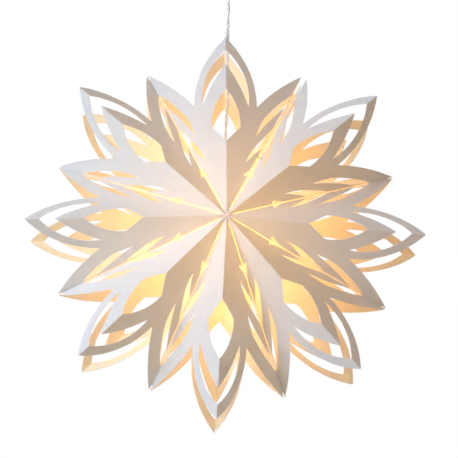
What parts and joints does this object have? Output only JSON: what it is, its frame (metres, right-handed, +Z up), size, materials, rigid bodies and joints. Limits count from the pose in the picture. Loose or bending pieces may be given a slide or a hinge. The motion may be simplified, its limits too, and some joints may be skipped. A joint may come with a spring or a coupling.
{
  "type": "paper snowflake star lantern",
  "caption": "Hanging paper star lantern with die-cut folded petals front and back, a lamp at its centre and a twisted cord from a ceiling rose.",
  "frame": {"origin": "centre of the ceiling rose's mounting face; the star's centre is 420 mm below it and 6 mm to the left", "axes": "+Z up, the star's front faces -Y, +X to the right seen from the front"},
  "size_m": [0.61, 0.2182, 0.7249],
  "materials": {
    "paper": "uncoated heavy white paper, slightly translucent",
    "seam_paper": "thin translucent paper that lets the lamp through",
    "tab_card": "white card",
    "clear_clip": "clear plastic",
    "cord": "two clear-sheathed strands, twisted",
    "sleeve": "clear sleeve",
    "grip": "clear plastic",
    "hanger": "clear plastic bar",
    "socket": "white moulded plastic",
    "insert": "glazed porcelain",
    "bulb": "frosted warm glass",
    "bulb_base": "rolled screw thread",
    "filament": "glowing filament",
    "rose": "white moulded plastic"
  },
  "bodies": {
    "ceiling_rose": {"ceiling_plate": "rose", "rose_cover": "rose", "rose_grip": "rose"},
    "top_unit": {"front_petal_1": "paper", "back_petal_1": "paper", "front_seam_strip_1": "seam_paper", "back_seam_strip_1": "seam_paper", "tip_tab_1": "tab_card", "front_closing_clip_1": "clear_clip", "front_closing_clip_2": "clear_clip", "front_closing_clip_3": "clear_clip", "back_closing_clip_1": "clear_clip", "back_closing_clip_2": "clear_clip", "back_closing_clip_3": "clear_clip", "lamp_cord": "cord", "cord_sleeve": "sleeve", "cord_grip": "grip", "hanger_bar": "hanger", "socket_cap": "socket", "socket_shell": "socket", "socket_insert": "insert", "bulb_glass": "bulb", "bulb_base": "bulb_base", "bulb_filament": "filament"},
    "unit_8": {"front_petal_8": "paper", "back_petal_8": "paper", "front_seam_strip_8": "seam_paper", "back_seam_strip_8": "seam_paper", "tip_tab_8": "tab_card"},
    "unit_7": {"front_petal_7": "paper", "back_petal_7": "paper", "front_seam_strip_7": "seam_paper", "back_seam_strip_7": "seam_paper", "tip_tab_7": "tab_card"},
    "unit_6": {"front_petal_6": "paper", "back_petal_6": "paper", "front_seam_strip_6": "seam_paper", "back_seam_strip_6": "seam_paper", "tip_tab_6": "tab_card"},
    "unit_5": {"front_petal_5": "paper", "back_petal_5": "paper", "front_seam_strip_5": "seam_paper", "back_seam_strip_5": "seam_paper", "tip_tab_5": "tab_card"},
    "unit_4": {"front_petal_4": "paper", "back_petal_4": "paper", "front_seam_strip_4": "seam_paper", "back_seam_strip_4": "seam_paper", "tip_tab_4": "tab_card"},
    "unit_3": {"front_petal_3": "paper", "back_petal_3": "paper", "front_seam_strip_3": "seam_paper", "back_seam_strip_3": "seam_paper", "tip_tab_3": "tab_card"},
    "unit_2": {"front_petal_2": "paper", "back_petal_2": "paper", "front_seam_strip_2": "seam_paper", "back_seam_strip_2": "seam_paper", "tip_tab_2": "tab_card"}
  },
  "joints": [
    {"name": "star_turn", "type": "hinge", "parent": "ceiling_rose", "child": "top_unit", "pos_m": [0, 0, -0.0353], "axis": [0, 0, 1], "range_deg": [-90, 90]},
    {"name": "fold_8", "type": "hinge", "parent": "top_unit", "child": "unit_8", "pos_m": [-0.006, 0, -0.42], "axis": [0, 1, 0], "range_deg": [0, 42], "deforming": ["front_petal_1", "back_petal_1", "front_seam_strip_1", "back_seam_strip_1", "tip_tab_1", "front_closing_clip_1", "front_closing_clip_2", "front_closing_clip_3", "back_closing_clip_1", "back_closing_clip_2", "back_closing_clip_3", "front_petal_8", "back_petal_8", "front_seam_strip_8", "back_seam_strip_8", "tip_tab_8"]},
    {"name": "fold_7", "type": "hinge", "parent": "unit_8", "child": "unit_7", "pos_m": [-0.006, 0, -0.42], "axis": [0, 1, 0], "range_deg": [0, 37.85], "deforming": ["front_petal_7", "back_petal_7", "front_seam_strip_7", "back_seam_strip_7", "tip_tab_7"]},
    {"name": "fold_6", "type": "hinge", "parent": "unit_7", "child": "unit_6", "pos_m": [-0.006, 0, -0.42], "axis": [0, 1, 0], "range_deg": [0, 38.2], "deforming": ["front_petal_6", "back_petal_6", "front_seam_strip_6", "back_seam_strip_6", "tip_tab_6"]},
    {"name": "fold_5", "type": "hinge", "parent": "unit_6", "child": "unit_5", "pos_m": [-0.006, 0, -0.42], "axis": [0, 1, 0], "range_deg": [0, 38.73], "deforming": ["front_petal_5", "back_petal_5", "front_seam_strip_5", "back_seam_strip_5", "tip_tab_5"]},
    {"name": "fold_4", "type": "hinge", "parent": "unit_5", "child": "unit_4", "pos_m": [-0.006, 0, -0.42], "axis": [0, 1, 0], "range_deg": [0, 39.18], "deforming": ["front_petal_4", "back_petal_4", "front_seam_strip_4", "back_seam_strip_4", "tip_tab_4"]},
    {"name": "fold_3", "type": "hinge", "parent": "unit_4", "child": "unit_3", "pos_m": [-0.006, 0, -0.42], "axis": [0, 1, 0], "range_deg": [0, 39.35], "deforming": ["front_petal_3", "back_petal_3", "front_seam_strip_3", "back_seam_strip_3", "tip_tab_3"]},
    {"name": "fold_2", "type": "hinge", "parent": "unit_3", "child": "unit_2", "pos_m": [-0.006, 0, -0.42], "axis": [0, 1, 0], "range_deg": [0, 39.18], "deforming": ["front_petal_2", "back_petal_2", "front_seam_strip_2", "back_seam_strip_2", "tip_tab_2"]}
  ],
  "couplings": [
    {"joint": "fold_7", "follows": "fold_8", "ratio": 0.90105},
    {"joint": "fold_6", "follows": "fold_8", "ratio": 0.90947},
    {"joint": "fold_5", "follows": "fold_8", "ratio": 0.92211},
    {"joint": "fold_4", "follows": "fold_8", "ratio": 0.93263},
    {"joint": "fold_3", "follows": "fold_8", "ratio": 0.93684},
    {"joint": "fold_2", "follows": "fold_8", "ratio": 0.93263}
  ]
}
